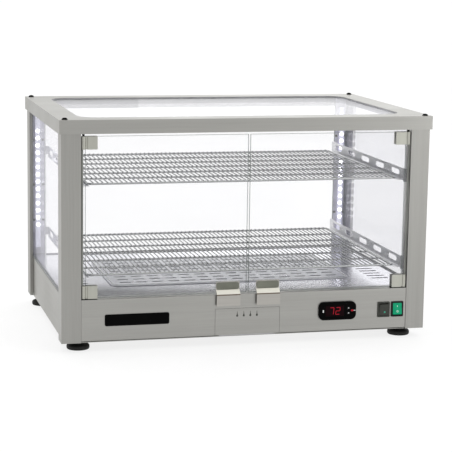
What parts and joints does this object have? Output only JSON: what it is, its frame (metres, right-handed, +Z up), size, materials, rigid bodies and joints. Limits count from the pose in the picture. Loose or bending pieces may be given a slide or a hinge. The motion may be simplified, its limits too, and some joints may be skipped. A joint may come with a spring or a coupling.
{
  "type": "hot food display case",
  "caption": "Counter-top heated display case: glass on all sides, hinged front glass doors, wire shelves, and a steel base with a water drawer, temperature controller and rocker switches.",
  "frame": {"origin": "on the surface that the case stands on, under the middle of its outer box", "axes": "+X to the right seen from the front, +Y to the back, +Z up; the doors face -Y"},
  "size_m": [0.78, 0.524, 0.475],
  "materials": {
    "brushed_steel": "satin brushed stainless sheet",
    "bright_steel": "polished stainless steel",
    "clear_glass": "clear toughened glass",
    "black_plastic": "moulded, fine texture",
    "black_rubber": "matte",
    "smoked_lens": "dark red display window",
    "green_lens": "translucent, lit from inside",
    "led_diffuser": "slim lamp profile"
  },
  "bodies": {
    "case": {"top_frame": "brushed_steel", "top_glass": "clear_glass", "corner_plug_front_left": "black_plastic", "corner_plug_front_right": "black_plastic", "corner_plug_rear_left": "black_plastic", "corner_plug_rear_right": "black_plastic", "post_front_left": "brushed_steel", "post_front_right": "brushed_steel", "post_rear_left": "brushed_steel", "post_rear_right": "brushed_steel", "side_glass_left": "clear_glass", "side_glass_right": "clear_glass", "rear_glass": "clear_glass", "led_strip_left": "led_diffuser", "led_strip_right": "led_diffuser", "hinge_pin_bottom_left": "black_plastic", "hinge_pin_bottom_right": "black_plastic", "hinge_pin_top_left": "black_plastic", "hinge_pin_top_right": "black_plastic", "front_fascia": "brushed_steel", "side_panel_left": "brushed_steel", "side_panel_right": "brushed_steel", "rear_panel": "brushed_steel", "bottom_pan": "brushed_steel", "door_sill": "brushed_steel", "floor_plate": "bright_steel", "floor_grille": "bright_steel", "cable_gland": "black_plastic", "heater_element": "brushed_steel", "fan_housing": "black_plastic", "controller_body": "black_plastic", "controller_window": "smoked_lens", "switch_frame_light": "black_plastic", "switch_frame_power": "black_plastic", "shelf_upper": "bright_steel", "shelf_lower": "bright_steel", "shelf_bracket_upper_left": "brushed_steel", "shelf_bracket_upper_right": "brushed_steel", "shelf_bracket_lower_left": "brushed_steel", "shelf_bracket_lower_right": "brushed_steel"},
    "door_left": {"door_glass_left": "clear_glass", "hinge_clamp_bottom_left": "bright_steel", "hinge_clamp_top_left": "bright_steel", "door_handle_left": "bright_steel"},
    "door_right": {"door_glass_right": "clear_glass", "hinge_clamp_bottom_right": "bright_steel", "hinge_clamp_top_right": "bright_steel", "door_handle_right": "bright_steel"},
    "water_drawer": {"drawer_front": "brushed_steel", "water_tray": "bright_steel"},
    "controller_key_up": {"key_up": "black_plastic"},
    "controller_key_down": {"key_down": "black_plastic"},
    "controller_key_set": {"key_set": "black_plastic"},
    "light_switch": {"switch_rocker_light": "black_plastic"},
    "power_switch": {"switch_rocker_power": "green_lens"},
    "levelling_foot_front_left": {"foot_front_left": "black_rubber"},
    "levelling_foot_front_right": {"foot_front_right": "black_rubber"},
    "levelling_foot_rear_left": {"foot_rear_left": "black_rubber"},
    "levelling_foot_rear_right": {"foot_rear_right": "black_rubber"},
    "fan_wheel": {"fan_impeller": "black_plastic"}
  },
  "joints": [
    {"name": "door_left_hinge", "type": "hinge", "parent": "case", "child": "door_left", "pos_m": [-0.3407, -0.2505, 0.28], "axis": [0, 0, -1], "range_deg": [0, 110]},
    {"name": "door_right_hinge", "type": "hinge", "parent": "case", "child": "door_right", "pos_m": [0.3407, -0.2505, 0.28], "axis": [0, 0, 1], "range_deg": [0, 110]},
    {"name": "water_drawer_slide", "type": "slide", "parent": "case", "child": "water_drawer", "axis": [0, -1, 0], "range_m": [0, 0.15]},
    {"name": "key_up_press", "type": "slide", "parent": "case", "child": "controller_key_up", "axis": [0, 1, 0], "range_m": [0, 0.0008], "stiffness_N_per_m": 300},
    {"name": "key_down_press", "type": "slide", "parent": "case", "child": "controller_key_down", "axis": [0, 1, 0], "range_m": [0, 0.0008], "stiffness_N_per_m": 300},
    {"name": "key_set_press", "type": "slide", "parent": "case", "child": "controller_key_set", "axis": [0, 1, 0], "range_m": [0, 0.0008], "stiffness_N_per_m": 300},
    {"name": "light_switch_rock", "type": "hinge", "parent": "case", "child": "light_switch", "pos_m": [0.2965, -0.2529, 0.0633], "axis": [1, 0, 0], "range_deg": [-16, 0]},
    {"name": "power_switch_rock", "type": "hinge", "parent": "case", "child": "power_switch", "pos_m": [0.3266, -0.2529, 0.0633], "axis": [1, 0, 0], "range_deg": [0, 16]},
    {"name": "foot_front_left_turn", "type": "hinge", "parent": "case", "child": "levelling_foot_front_left", "pos_m": [-0.346, -0.215, 0.01], "axis": [0, 0, 1], "continuous": true},
    {"name": "foot_front_right_turn", "type": "hinge", "parent": "case", "child": "levelling_foot_front_right", "pos_m": [0.346, -0.215, 0.01], "axis": [0, 0, 1], "continuous": true},
    {"name": "foot_rear_left_turn", "type": "hinge", "parent": "case", "child": "levelling_foot_rear_left", "pos_m": [-0.3595, 0.209, 0.01], "axis": [0, 0, 1], "continuous": true},
    {"name": "foot_rear_right_turn", "type": "hinge", "parent": "case", "child": "levelling_foot_rear_right", "pos_m": [0.3595, 0.209, 0.01], "axis": [0, 0, 1], "continuous": true},
    {"name": "fan_spin", "type": "hinge", "parent": "case", "child": "fan_wheel", "pos_m": [0.325, -0.094, 0.09595], "axis": [0, 0, 1], "continuous": true}
  ]
}
